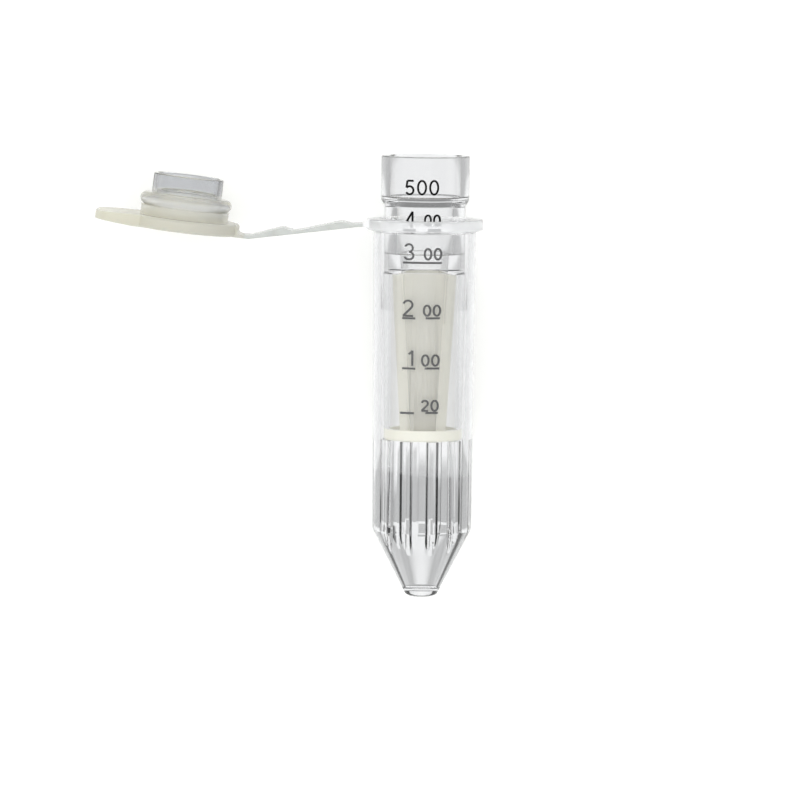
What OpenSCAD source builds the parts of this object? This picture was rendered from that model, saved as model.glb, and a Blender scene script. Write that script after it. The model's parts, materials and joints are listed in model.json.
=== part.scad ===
// Centrifugal filter tube: a ribbed collection tube with a strapped cap, and the filter unit that stands in it.
// Every piece is drawn upright on the tube's axis, and the whole is then laid on its side, as it comes to rest.

/* [Collection tube] */
// Height from the flat base to the top of the flange
tube_h = 40.6; // [38:0.1:44]
// Outside diameter just under the flange
tube_top_d = 11; // [10.8:0.05:12]
// Outside diameter at the shoulder above the cone
tube_low_d = 10.65; // [10.3:0.05:10.8]
// Wall of the straight part
tube_wall = 1; // [0.8:0.05:1.1]
// Height of the shoulder, where the cone starts
shoulder_z = 7.3; // [6.5:0.1:9]
// Rounding of the shoulder
shoulder_round = 2.5; // [0.5:0.1:4]
// Diameter of the base, before its edge is rounded
base_d = 3.2; // [2.8:0.1:4]
// Rounding of the base edge
base_round = 0.7; // [0.2:0.1:0.9]
// Thickness of the floor inside the cone
floor_t = 1; // [0.8:0.1:1.5]
// Diameter of the floor inside the cone
floor_d = 3.2; // [2:0.1:3.4]
// Diameter of the mouth, wide enough for the cap's ring
mouth_d = 9.5; // [9.2:0.05:9.6]
// Depth of the mouth before it narrows to the bore
mouth_depth = 3; // [2.6:0.1:3.6]
// Diameter of the flange
flange_d = 12.5; // [12.1:0.1:14]
// Thickness of the flange
flange_t = 1.2; // [1:0.05:1.6]

/* [Ribs] */
// Number of ribs round the inside
rib_count = 10; // [6:1:12]
// Width of one rib, which is also its round nose
rib_w = 1.1; // [0.8:0.05:1.3]
// Diameter between the noses of opposite ribs
rib_nose_d = 7; // [6.4:0.1:7.4]
// Height of the rib tops, on which the filter unit stands
rib_top_z = 17.1; // [15:0.1:18]
// Turn of the ribs from the front
rib_turn = 13.4; // [0:0.1:36]

/* [Strap] */
// Width of the strap
strap_w = 4; // [3:0.1:5]
// Length of the inner link, between its two hinges
inner_link_l = 6.3; // [5.5:0.1:7]
// Thickness at the crest of the inner link
inner_crest = 0.75; // [0.5:0.05:1]
// Thickness at the crest of the outer link
outer_crest = 0.82; // [0.5:0.05:1]
// Droop of the inner link when the cap is open
inner_droop = 7; // [0:0.5:12]
// Droop of the outer link when the cap is open
outer_droop = 6.7; // [0:0.1:12]
// Thickness of the film at a hinge
film_t = 0.34; // [0.25:0.01:0.4]
// Diameter of the round bead on a hinge line
bead_d = 0.5; // [0.45:0.01:0.6]
// Gap between a bead and the socket round it
hinge_gap = 0.03; // [0.02:0.01:0.06]
// Distance from the flange's edge to the first hinge
root_l = 0.85; // [0.7:0.05:1.2]
// Height of the first hinge above the flange's underside
root_rise = 0.5; // [0.3:0.05:0.7]
// How much longer the strap is than the straight way it spans when the cap is closed
strap_slack = 0.8; // [0.2:0.1:1.6]

/* [Cap] */
// Diameter of the cap's disc
disc_d = 12; // [11:0.1:12.4]
// Thickness of the disc
disc_t = 1.3; // [1:0.05:1.6]
// Upward tilt of the open cap, away from the tube
cap_tilt = 6.5; // [0:0.5:12]
// Diameter of the sealing bead, which snaps into the tube's mouth
seal_d = 9.8; // [9.6:0.05:10]
// Height of the sealing bead
seal_h = 1.35; // [1:0.05:1.6]
// Height of the straight ring under the bead
ring_h = 1.05; // [0.8:0.05:1.4]
// Gap all round between the ring and the tube's mouth
ring_fit = 0.05; // [0.02:0.01:0.1]
// Height of the plug above the bead
plug_h = 2.1; // [1.5:0.1:3]
// Wall of the hollow plug
plug_wall = 0.48; // [0.35:0.01:0.7]
// Gap all round between the plug and the filter collar
plug_fit = 0.15; // [0.05:0.01:0.3]
// Reach of the lift tab from the disc's centre
tab_reach = 9.3; // [8:0.1:11]
// Width of the lift tab
tab_w = 8.2; // [5:0.1:10]
// Corner radius of the lift tab
tab_corner = 2.2; // [1:0.1:2.4]
// Thickness of the lift tab at its tip
tab_tip_t = 0.85; // [0.6:0.05:1]

/* [Filter unit] */
// Gap all round between the top of the sleeve and the tube's bore
filter_gap = 0.07; // [0.05:0.01:0.15]
// How much the sleeve's radius shrinks towards its lower end
sleeve_taper = 0.23; // [0.15:0.01:0.3]
// Height of the sleeve, from the filter unit's lower face
sleeve_h = 17.9; // [16:0.1:18.5]
// Wall of the sleeve
sleeve_wall = 0.55; // [0.4:0.05:0.6]
// Step from the sleeve in to the neck
neck_step = 0.08; // [0.04:0.01:0.15]
// Diameter of the bore in the neck
neck_bore_d = 6; // [5.8:0.1:6.6]
// Thickness of the shelf under the neck bore
shelf_t = 1.9; // [1.4:0.1:2]
// Height of the collar above the flange
collar_stand = 1.6; // [1.2:0.1:3]
// Diameter of the collar
collar_d = 9.4; // [9.3:0.05:9.8]
// Height of the collar
collar_h = 5.1; // [4.6:0.1:6]
// Wall of the collar
collar_wall = 0.8; // [0.6:0.05:0.9]
// Width of the sample channel at its top
channel_top_w = 4.2; // [3.8:0.1:4.4]
// Width of the sample channel at its lower end
channel_low_w = 2.56; // [2.2:0.02:3]
// Depth of the sample channel, from front to back
channel_d = 5.8; // [5.2:0.1:5.8]
// Diameter of the round well under the channel
well_d = 1.8; // [1.2:0.1:2]
// Thickness of one membrane
membrane_t = 0.2; // [0.1:0.02:0.3]
// Thickness of the plate that backs a membrane
support_t = 0.75; // [0.6:0.05:0.8]
// Width and depth of one drain groove
groove = 0.35; // [0.2:0.05:0.4]
// Number of drain grooves in a plate
groove_count = 5; // [3:1:6]
// Thickness of the base that closes the sleeve
filter_base_t = 1.2; // [1:0.1:1.5]
// Gap between pieces that slide into each other
slide_gap = 0.05; // [0.02:0.01:0.1]

/* [Hidden] */
$fn = 96;
eps = 0.01;

// Tube
base_r = base_d / 2;
low_r = tube_low_d / 2;
top_r = tube_top_d / 2;
flange_r = flange_d / 2;
mouth_r = mouth_d / 2;
flange_z = tube_h - flange_t;
draft = (top_r - low_r) / (flange_z - shoulder_z);
function bore_r(z) = low_r - tube_wall + draft * (z - shoulder_z);
// Rounding of the flange's rim, of the corner under it, and of the corners inside the cone
edge_round = 0.25;
root_round = 0.3;
floor_round = 0.3;
cone_round = 1;
// Chamfer of the mouth, and height of the slope from the mouth down to the bore
mouth_lead = 0.25;
mouth_slope = 0.6;
// How far a cut runs past the face that it opens
over = 1;

// Filter unit, from its lower face upwards
sleeve_top = rib_top_z + sleeve_h;
sleeve_top_r = bore_r(sleeve_top) - filter_gap;
sleeve_low_r = sleeve_top_r - sleeve_taper;
neck_r = sleeve_top_r - neck_step;
neck_bore_r = neck_bore_d / 2;
collar_z = tube_h + collar_stand;
collar_top = collar_z + collar_h;
collar_r = collar_d / 2;
collar_bore_r = collar_r - collar_wall;
// Height of the slopes under the collar, outside and inside, and the rounding of its corners
collar_slope = 0.6;
throat_slope = 0.4;
throat_round = 0.4;
shelf_round = 0.5;
neck_round = 0.3;
rim_round = 0.15;
rim_lead = 0.2;
core_r = sleeve_low_r - sleeve_wall - slide_gap;
frame_z = rib_top_z + filter_base_t;
channel_r = channel_d / 2;
// Height of the well's middle above the base, and of the slope from the well out to the channel
channel_low_z = frame_z + 1.3;
well_slope = 0.9;
// How far the drain grooves stop below the top of their plate, and the width of a slot in the base
groove_stop = 0.8;
slot_w = 0.8;
function channel_half(z) = channel_low_w / 2
    + (channel_top_w - channel_low_w) / 2 * (z - channel_low_z) / (sleeve_top + shelf_t - channel_low_z);

// Strap: the root's rise on the flange, the places of a link's crest, and the roundings between them
half_film = film_t / 2;
root_start = root_l - 0.2;
root_ramp = 0.35;
root_head = 0.5;
root_flare = 0.9;
root_bury = 1.2;
crest_from = 0.6;
crest_at = 1.7;
taper_stop = 0.3;
film_round = 0.5;

// Cap, in its own frame: the third hinge at the origin, the disc's centre at +X, the plug upwards
cap_reach = flange_r + root_l;
disc_r = disc_d / 2;
disc_z = -half_film;
disc_top = disc_z + disc_t;
ring_r = mouth_r - ring_fit;
seal_r = seal_d / 2;
seal_top = disc_top + ring_h + seal_h;
plug_r = collar_bore_r - plug_fit;
plug_top = seal_top + plug_h;
// Gap between the closed cap's bead and the rim of the collar
seat_gap = 0.02;
// Rounding of the disc's edge, thickness left under the hollow of the plug, and the plug's draft and lead
disc_round = 0.3;
plug_floor = 0.2;
plug_draft = 0.06;
plug_lead = 0.1;
plug_round = 0.2;
// Where the tab starts to thin, and how much of its thinning is taken from below
tab_thin_x = cap_reach + disc_r - 0.8;
tab_lift = (disc_t - tab_tip_t) * 0.7;

// Hinge lines as [x, z], with the cap open
hinge1 = [-cap_reach, flange_z + root_rise];
closed_rise = collar_top + seat_gap + seal_top - hinge1.y;
outer_link_l = closed_rise + strap_slack - inner_link_l;
inner_dir = 180 + inner_droop;
outer_dir = 180 + outer_droop;
hinge2 = hinge1 + inner_link_l * [cos(inner_dir), sin(inner_dir)];
hinge3 = hinge2 + outer_link_l * [cos(outer_dir), sin(outer_dir)];

// Resting pose: the flange and the shoulder touch the ground, and the cap leans on its disc's edge
lean = atan2(flange_r - low_r, flange_z - shoulder_z);
cap_mid_x = hinge3.x - cap_reach * cos(cap_tilt);
cap_mid_z = hinge3.y + cap_reach * sin(cap_tilt);
roll = asin((flange_r - disc_r + (cap_mid_z - flange_z) * tan(lean)) / cap_mid_x);
lift = flange_r * cos(lean) - flange_z * sin(lean);
left_end = hinge3.x - (cap_reach + tab_reach) * cos(cap_tilt);
mid_x = (flange_r + left_end) / 2;
mid_y = collar_top * cos(lean) / 2;

// The arc that rounds corner p of the outline a, p, b
function unit(v) = v / norm(v);
function turn(a) = a > 180 ? a - 360 : a < -180 ? a + 360 : a;
function corner(a, p, b, r) = r == 0 ? [p] :
    let (u = unit(a - p), v = unit(b - p), half = acos(u * v) / 2)
    let (c = p + unit(u + v) * r / sin(half))
    let (s = p + u * r / tan(half) - c, e = p + v * r / tan(half) - c)
    let (from = atan2(s.y, s.x), sweep = turn(atan2(e.y, e.x) - from), n = max(2, ceil(abs(sweep) / 18)))
    [for (i = [0:n]) c + r * [cos(from + sweep * i / n), sin(from + sweep * i / n)]];
// A closed outline from [x, y, corner radius] points
function outline(p) = let (n = len(p), xy = [for (q = p) [q.x, q.y]])
    [for (i = [0:n - 1]) each corner(xy[(i + n - 1) % n], xy[i], xy[(i + 1) % n], p[i].z)];

module laid() {
    translate([-mid_x, -mid_y, lift]) rotate([lean - 90, 0, 0]) rotate([0, 0, roll]) children();
}

// A side view in x and z, given its width from front to back
module across(w) {
    rotate([90, 0, 0]) linear_extrude(w, center = true) children();
}

module tube_outside() {
    rotate_extrude() polygon(outline([[0, 0, 0], [base_r, 0, base_round], [low_r, shoulder_z, shoulder_round],
        [top_r, flange_z, root_round], [flange_r, flange_z, edge_round], [flange_r, tube_h, edge_round], [0, tube_h, 0]]));
}

// The hollow of the tube, with a slot left out of it for each rib
module tube_hollow() {
    narrow_z = tube_h - mouth_depth;
    slope_z = narrow_z - mouth_slope;
    difference() {
        rotate_extrude() polygon(outline([[0, floor_t, 0], [floor_d / 2, floor_t, floor_round],
            [bore_r(shoulder_z), shoulder_z, cone_round], [bore_r(slope_z), slope_z, 0],
            [mouth_r, narrow_z, 0], [mouth_r, tube_h - mouth_lead, 0],
            [mouth_r + mouth_lead, tube_h, 0], [mouth_r + mouth_lead, tube_h + over, 0], [0, tube_h + over, 0]]));
        for (i = [0:rib_count - 1]) rotate([0, 0, rib_turn - 90 + i * 360 / rib_count]) rib();
    }
}

module rib() {
    nose_x = rib_nose_d / 2 + rib_w / 2;
    translate([nose_x, 0, 0]) cylinder(h = rib_top_z, d = rib_w);
    translate([nose_x, -rib_w / 2, 0]) cube([top_r - nose_x, rib_w, rib_top_z]);
}

// The film that leaves the flange, with the bead of the first hinge at its end
module strap_root() {
    translate(hinge1) {
        circle(d = bead_d);
        polygon(outline([[0, -half_film, 0], [root_start, -half_film, film_round],
            [root_start + root_flare, -root_rise, 0], [root_start + root_bury, -root_rise, 0],
            [root_start + root_bury, half_film + root_head, 0], [root_start + root_ramp, half_film + root_head, 0],
            [root_start, half_film, root_ramp], [0, half_film, 0]]));
    }
}

module collection_tube() {
    color([0.90, 0.93, 0.92, 0.5]) {
        difference() {
            tube_outside();
            tube_hollow();
        }
        across(strap_w) strap_root();
    }
}

// One link of the strap: a socket at its start, a crest, a long taper, and a bead at its end
module link(length, crest) {
    across(strap_w) difference() {
        union() {
            polygon(outline([[0, -half_film, 0], [length, -half_film, 0], [length, half_film, 0],
                [length - taper_stop, half_film, film_round], [crest_at, crest - half_film, film_round],
                [crest_from, half_film, film_round], [0, half_film, 0]]));
            translate([length, 0]) circle(d = bead_d);
        }
        circle(d = bead_d + 2 * hinge_gap);
    }
}

module strap_inner_link() {
    color([0.88, 0.90, 0.88]) translate([hinge1.x, 0, hinge1.y]) rotate([0, inner_droop, 180])
        link(inner_link_l, inner_crest);
}

module strap_outer_link() {
    color([0.88, 0.90, 0.88]) translate([hinge2.x, 0, hinge2.y]) rotate([0, outer_droop, 180])
        link(outer_link_l, outer_crest);
}

// The tab's outline from above, cut to a thickness that falls towards its tip
module lift_tab() {
    tip_x = cap_reach + tab_reach;
    intersection() {
        translate([0, 0, disc_z]) linear_extrude(disc_t) polygon(outline([
            [cap_reach, -tab_w / 2, 0], [tip_x, -tab_w / 2, tab_corner],
            [tip_x, tab_w / 2, tab_corner], [cap_reach, tab_w / 2, 0]]));
        across(tab_w) polygon([[cap_reach, disc_z], [tab_thin_x, disc_z], [tip_x, disc_z + tab_lift],
            [tip_x, disc_z + tab_lift + tab_tip_t], [tab_thin_x, disc_top], [cap_reach, disc_top]]);
    }
}

// The film from the third hinge to the disc, with a hollow curve up to the disc's top
module cap_film() {
    edge = cap_reach - disc_r;
    across(strap_w) difference() {
        polygon(outline([[0, disc_z, 0], [edge + root_flare, disc_z, 0], [edge + root_flare, disc_top, 0],
            [edge + root_ramp, disc_top, 0], [edge, half_film, film_round], [0, half_film, 0]]));
        circle(d = bead_d + 2 * hinge_gap);
    }
}

module cap_body() {
    seal_round = seal_h / 2 - eps;
    hollow_r = plug_r - plug_wall;
    hollow_z = disc_top + plug_floor;
    difference() {
        rotate_extrude() polygon(outline([[0, disc_z, 0], [disc_r, disc_z, disc_round],
            [disc_r, disc_top, disc_round], [ring_r, disc_top, 0], [ring_r, seal_top - seal_h, 0],
            [seal_r, seal_top - seal_h, seal_round], [seal_r, seal_top, seal_round], [plug_r, seal_top, 0],
            [plug_r - plug_draft, plug_top, plug_round], [0, plug_top, 0]]));
        rotate_extrude() polygon(outline([[0, hollow_z, 0], [hollow_r - plug_draft, hollow_z, film_round],
            [hollow_r, plug_top - plug_lead, 0], [hollow_r + plug_lead, plug_top + eps, 0],
            [0, plug_top + eps, 0]]));
    }
}

module cap() {
    color([0.90, 0.91, 0.86]) translate([hinge3.x, 0, hinge3.y]) rotate([0, -cap_tilt, 180]) {
        translate([cap_reach, 0, 0]) cap_body();
        lift_tab();
        cap_film();
    }
}

// The space between the two membranes, cut to the round bore of the channel
module channel(from, to) {
    intersection() {
        translate([0, 0, from]) cylinder(h = to - from, r = channel_r);
        across(2 * channel_d) polygon([[-channel_half(from), from - eps], [channel_half(from), from - eps],
            [channel_half(to), to + eps], [-channel_half(to), to + eps]]);
    }
}

module filter_housing() {
    shelf_top = sleeve_top + shelf_t;
    throat_z = collar_z + collar_slope;
    color([0.93, 0.96, 0.95, 0.35]) difference() {
        rotate_extrude() polygon(outline([[0, frame_z, 0], [sleeve_low_r, frame_z, 0], [sleeve_top_r, sleeve_top, 0],
            [neck_r, sleeve_top, 0], [neck_r, collar_z, neck_round],
            [collar_r, collar_z + collar_slope, neck_round], [collar_r, collar_top, rim_round],
            [0, collar_top, 0]]));
        rotate_extrude() polygon(outline([[0, shelf_top, 0], [neck_bore_r, shelf_top, shelf_round],
            [neck_bore_r, throat_z, throat_round], [collar_bore_r, throat_z + throat_slope, throat_round],
            [collar_bore_r, collar_top - rim_lead, 0], [collar_bore_r + rim_lead, collar_top + eps, 0],
            [0, collar_top + eps, 0]]));
        translate([0, 0, frame_z - eps]) cylinder(h = sleeve_top - frame_z + eps, r = core_r + slide_gap);
        channel(sleeve_top - eps, shelf_top + eps);
    }
}

// The core of the filter unit: front and back walls, open to both membranes, over a round well
module channel_frame() {
    rim_z = channel_low_z + well_slope;
    color([0.88, 0.89, 0.80, 0.6]) difference() {
        intersection() {
            translate([0, 0, frame_z]) cylinder(h = sleeve_top - frame_z, r = core_r);
            wedge(0, frame_z, sleeve_top);
        }
        channel(rim_z, sleeve_top + eps);
        translate([0, 0, channel_low_z]) intersection() {
            cylinder(h = well_slope + eps, r1 = well_d / 2, r2 = channel_r);
            translate([-channel_low_w / 2, -channel_d, 0]) cube([channel_low_w, 2 * channel_d, 2 * well_slope]);
        }
        translate([0, 0, channel_low_z]) sphere(d = well_d);
    }
}

// A block with sloping sides, as far out from the channel as asked
module wedge(out, from, to) {
    across(4 * core_r) polygon([[-channel_half(from) - out, from], [channel_half(from) + out, from],
        [channel_half(to) + out, to], [-channel_half(to) - out, to]]);
}

// A plate that lies along the right side of the channel
module side_plate(inner, thickness, from, to) {
    intersection() {
        translate([0, 0, from]) cylinder(h = to - from, r = core_r);
        across(4 * core_r) polygon([[channel_half(from) + inner, from], [channel_half(from) + inner + thickness, from],
            [channel_half(to) + inner + thickness, to], [channel_half(to) + inner, to]]);
    }
}

module membrane() {
    color([0.93, 0.91, 0.80]) side_plate(0, membrane_t, frame_z, sleeve_top);
}

// The backing plate, with upright grooves that lead the filtrate down to the base
module support() {
    pitch = channel_d / groove_count;
    color([0.86, 0.87, 0.78]) difference() {
        side_plate(membrane_t, support_t, frame_z, sleeve_top);
        for (i = [0:groove_count - 1]) translate([0, (i - (groove_count - 1) / 2) * pitch, 0])
            across(groove) polygon([[channel_half(frame_z) + membrane_t - eps, frame_z - eps],
                [channel_half(frame_z) + membrane_t + groove, frame_z - eps],
                [channel_half(sleeve_top) + membrane_t + groove, sleeve_top - groove_stop],
                [channel_half(sleeve_top) + membrane_t - eps, sleeve_top - groove_stop]]);
    }
}

module membrane_right() { membrane(); }
module membrane_left() { rotate([0, 0, 180]) membrane(); }
module support_right() { support(); }
module support_left() { rotate([0, 0, 180]) support(); }

// The base: a disc flush with the sleeve, with two slots under the drain grooves
module filter_base() {
    slot_x = channel_half(frame_z) + membrane_t + groove / 2;
    slot_l = channel_d - slot_w;
    color([0.92, 0.90, 0.76]) difference() {
        rotate_extrude() polygon(outline([[0, rib_top_z, 0], [sleeve_low_r, rib_top_z, edge_round],
            [sleeve_low_r, frame_z, 0], [0, frame_z, 0]]));
        for (side = [-1, 1]) translate([side * slot_x, 0, rib_top_z - eps]) {
            for (end = [-1, 1]) translate([0, end * slot_l / 2, 0]) cylinder(h = 2 * filter_base_t, d = slot_w);
            translate([-slot_w / 2, -slot_l / 2, 0]) cube([slot_w, slot_l, 2 * filter_base_t]);
        }
    }
}

laid() collection_tube();
laid() strap_inner_link();
laid() strap_outer_link();
laid() cap();
laid() filter_housing();
laid() channel_frame();
laid() membrane_left();
laid() membrane_right();
laid() support_left();
laid() support_right();
laid() filter_base();
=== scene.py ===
import json
import math
import bpy
import bmesh
from mathutils import Matrix, Vector


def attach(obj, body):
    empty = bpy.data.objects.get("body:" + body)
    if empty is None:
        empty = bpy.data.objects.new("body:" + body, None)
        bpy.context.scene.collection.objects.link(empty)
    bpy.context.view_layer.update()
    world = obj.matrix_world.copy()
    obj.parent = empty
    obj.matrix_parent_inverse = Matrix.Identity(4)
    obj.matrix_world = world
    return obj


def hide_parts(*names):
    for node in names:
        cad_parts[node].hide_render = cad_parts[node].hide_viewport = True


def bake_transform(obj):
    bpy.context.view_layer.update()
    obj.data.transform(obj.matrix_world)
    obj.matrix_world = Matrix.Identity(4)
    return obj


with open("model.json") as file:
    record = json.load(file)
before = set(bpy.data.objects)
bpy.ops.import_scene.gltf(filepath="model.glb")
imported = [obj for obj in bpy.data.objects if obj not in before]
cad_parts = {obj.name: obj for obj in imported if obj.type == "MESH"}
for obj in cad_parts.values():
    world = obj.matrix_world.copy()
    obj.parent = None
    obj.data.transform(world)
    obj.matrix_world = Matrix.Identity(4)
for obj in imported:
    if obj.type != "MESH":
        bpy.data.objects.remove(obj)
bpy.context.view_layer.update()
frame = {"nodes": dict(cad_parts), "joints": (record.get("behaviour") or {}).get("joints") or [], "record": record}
print("stage: frame loaded")

mm = 0.001
over = 0.5  # how far a cutting shape runs past the face that it opens
joints = {j["name"]: j for j in frame["joints"]}
mounts = {m["name"]: m for m in frame["record"]["mounts"]}


def toLinear(hexColour):
    values = [int(hexColour[i:i + 2], 16) / 255 for i in (1, 3, 5)]
    return [v / 12.92 if v <= 0.04045 else ((v + 0.055) / 1.055) ** 2.4 for v in values] + [1.0]


def addNode(tree, kind, inputs=None, **settings):
    node = tree.nodes.new(kind)
    for name, value in settings.items():
        setattr(node, name, value)
    for key, value in (inputs or {}).items():
        if isinstance(value, bpy.types.NodeSocket):
            tree.links.new(value, node.inputs[key])
        else:
            node.inputs[key].default_value = value
    return node


# Every piece is drawn upright on the tube's axis, in millimetres, and these places lay it down with the frame.

tube = {
    "height": 40.6, "topRadius": 5.5, "lowRadius": 5.325, "wall": 1.0,
    "shoulderHeight": 7.3, "shoulderRound": 1.0,
    "baseRadius": 1.6, "baseRound": 0.7,
    "floor": 1.0, "floorRadius": 1.6, "floorRound": 0.3, "coneRound": 0.2,
    "mouthRadius": 4.75, "mouthDepth": 0.6, "mouthLead": 0.25,  # a straight mouth with a small lead-in
    "mouthSlope": 9.0, "slopeFoot": 4.0, "slopeHead": 3.0,  # the taper under it, and the roundings of its ends
    "flangeRadius": 6.25, "flangeThickness": 1.2, "edgeRound": 0.25, "rootRound": 0.3,
}
flangeUnder = tube["height"] - tube["flangeThickness"]
draft = (tube["topRadius"] - tube["lowRadius"]) / (flangeUnder - tube["shoulderHeight"])

up = -Vector(mounts["tube_barrel"]["axis"])
back = Vector(joints["cap_hinge"]["axis"])
right = back.cross(up)
baseCentre = Vector(mounts["tube_barrel"]["pos_m"]) - up * flangeUnder * mm
standing = Matrix.Translation(baseCentre) @ Matrix((right, back, up)).transposed().to_4x4()
laid = standing @ Matrix.Scale(mm, 4)


def hingePoint(joint):
    point = laid.inverted() @ Vector(joints[joint]["pos_m"])
    return Vector((point.x, point.z))


strap = {
    "width": 4.0, "film": 0.34, "edge": 0.08,
    "crestFrom": 0.6, "crestAt": 1.7, "innerCrest": 0.75, "outerCrest": 0.82, "crestRound": 0.9,
    "taperStop": 0.3, "filmRound": 0.5,
    "reach": 0.85, "rise": 0.5,  # from the flange's rim out to the first hinge, and up from its underside
    "rootInset": 0.2, "rootFlare": 0.9, "rootBury": 1.2, "rootHead": 0.5,
    "bend": 0.45, "bendCuts": 6,  # half the length that flexes at a hinge, and the cuts on each side of it
    "pastBend": 0.05,  # from there to where the strap ends, at the tube and at the cap
    "rampLength": 0.35,  # of the hollow curve that runs up to the flange, or to the disc
}
cap = {
    "tilt": 6.5,  # degrees
    "discRadius": 6.0, "disc": 1.3, "discRound": 0.3,
    "ringRadius": 4.7, "ring": 1.05, "ringFoot": 0.08, "ringHead": 0.06,
    "sealRadius": 4.9, "seal": 1.35, "sealFlat": 0.02,
    "plugRadius": 3.75, "plug": 2.1, "plugWall": 0.48, "plugDraft": 0.02, "plugFoot": 0.12, "plugRound": 0.2,
    "plugFloor": 0.2, "floorRound": 0.5, "plugLead": 0.1,
    "tabReach": 9.3, "tabWidth": 8.2, "tabCorner": 2.2, "tabTip": 0.85, "tabLift": 0.315, "tabFrom": 5.2,
    "filmBury": 0.9,
}
hinges = [hingePoint(name) for name in ("strap_root_hinge", "strap_middle_hinge", "cap_hinge")]
capReach = tube["flangeRadius"] + strap["reach"]
capPlace = (laid @ Matrix.Translation((hinges[2].x, 0, hinges[2].y)) @ Matrix.Rotation(math.pi, 4, "Z")
            @ Matrix.Rotation(-math.radians(cap["tilt"]), 4, "Y"))


def rounded(corners, stepDegrees=9):
    # a closed outline from (x, y, radius) corners, each radius drawn as an arc
    points = []
    for i, (x, y, radius) in enumerate(corners):
        here = Vector((x, y))
        if radius == 0:
            points.append((x, y))
            continue
        before = (Vector(corners[i - 1][:2]) - here).normalized()
        after = (Vector(corners[(i + 1) % len(corners)][:2]) - here).normalized()
        half = before.angle(after) / 2
        centre = here + (before + after).normalized() * radius / math.sin(half)
        start = here + before * radius / math.tan(half) - centre
        end = here + after * radius / math.tan(half) - centre
        sweep = start.angle_signed(end)
        steps = max(2, math.ceil(abs(math.degrees(sweep)) / stepDegrees))
        points += [tuple(centre + Matrix.Rotation(-sweep * k / steps, 2) @ start) for k in range(steps + 1)]
    return points


def meshFrom(vertices, faces):
    # a closed shell: doubles merged, faces outward
    shell = bmesh.new()
    made = [shell.verts.new(v) for v in vertices]
    for face in faces:
        shell.faces.new([made[i] for i in face])
    bmesh.ops.remove_doubles(shell, verts=shell.verts, dist=1e-5)
    bmesh.ops.dissolve_degenerate(shell, edges=shell.edges, dist=1e-5)
    bmesh.ops.recalc_face_normals(shell, faces=shell.faces)
    mesh = bpy.data.meshes.new("shell")
    shell.to_mesh(mesh)
    shell.free()
    return mesh


def turned(outline, segments=256):
    # a closed outline in (radius, height), turned about the axis
    vertices = [(r * math.cos(a), r * math.sin(a), z) for r, z in outline
                for a in (2 * math.pi * k / segments for k in range(segments))]
    faces = []
    for i in range(len(outline)):
        j = (i + 1) % len(outline)
        if outline[i][0] < 1e-6 and outline[j][0] < 1e-6:
            continue
        for k in range(segments):
            n = (k + 1) % segments
            faces.append((i * segments + k, i * segments + n, j * segments + n, j * segments + k))
    return meshFrom(vertices, faces)


def extruded(outline, low, high, axis="z"):
    # a closed outline drawn out along z, or a side view in (x, z) drawn out along y
    def point(x, y, w):
        return (x, y, w) if axis == "z" else (x, w, y)
    n = len(outline)
    vertices = [point(x, y, w) for w in (low, high) for x, y in outline]
    faces = [tuple(range(n)), tuple(range(2 * n - 1, n - 1, -1))]
    faces += [(i, (i + 1) % n, n + (i + 1) % n, n + i) for i in range(n)]
    return meshFrom(vertices, faces)


def combined(mesh, other, operation):
    # one solid from two
    base = bpy.data.objects.new("base", mesh)
    tool = bpy.data.objects.new("tool", other)
    for item in (base, tool):
        bpy.context.scene.collection.objects.link(item)
    cut = base.modifiers.new("cut", "BOOLEAN")
    cut.operation = operation
    cut.solver = "EXACT"
    cut.object = tool
    graph = bpy.context.evaluated_depsgraph_get()
    result = bpy.data.meshes.new_from_object(base.evaluated_get(graph))
    for item in (base, tool):
        bpy.data.objects.remove(item)
    return result


def smoothed(mesh, sharpDegrees=32, merge=2e-4):
    # welded, with smooth shading up to the sharp angle
    shell = bmesh.new()
    shell.from_mesh(mesh)
    bmesh.ops.remove_doubles(shell, verts=shell.verts, dist=merge)
    bmesh.ops.dissolve_degenerate(shell, edges=shell.edges, dist=merge)
    shell.to_mesh(mesh)
    shell.free()
    mesh.shade_smooth()
    mesh.set_sharp_from_angle(angle=math.radians(sharpDegrees))
    return mesh


def throughTree(source, tree, values):
    # a mesh or curve put through a node tree once, and taken back as a plain mesh
    carrier = bpy.data.objects.new("carrier", source)
    bpy.context.scene.collection.objects.link(carrier)
    modifier = carrier.modifiers.new("tree", "NODES")
    modifier.node_group = tree
    for identifier, value in values.items():
        modifier[identifier] = value
    graph = bpy.context.evaluated_depsgraph_get()
    result = bpy.data.meshes.new_from_object(carrier.evaluated_get(graph))
    carrier.modifiers.remove(modifier)
    bpy.data.objects.remove(carrier)
    return result


def newTree(name, inputs):
    # a geometry tree with a named input for each size
    tree = bpy.data.node_groups.new(name, "GeometryNodeTree")
    tree.interface.new_socket("Geometry", in_out="INPUT", socket_type="NodeSocketGeometry")
    sockets = {}
    for label, kind in inputs.items():
        sockets[label] = tree.interface.new_socket(label, in_out="INPUT", socket_type=kind).identifier
    tree.interface.new_socket("Geometry", in_out="OUTPUT", socket_type="NodeSocketGeometry")
    return tree, sockets


def piece(name, mesh, place, body, nodes, material):
    # a finished piece: laid in place, named, given its material, and tied to its body, with its CAD nodes hidden
    mesh.transform(place)
    mesh.name = name
    mesh.materials.clear()
    mesh.materials.append(material)
    made = bpy.data.objects.new(name, mesh)
    bpy.context.scene.collection.objects.link(made)
    if body:
        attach(made, body)
    if nodes:
        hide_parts(*nodes)
    return made


def newMaterial(name):
    material = bpy.data.materials.new(name)
    material.use_nodes = True
    material.node_tree.nodes.clear()
    return material, material.node_tree


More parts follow.
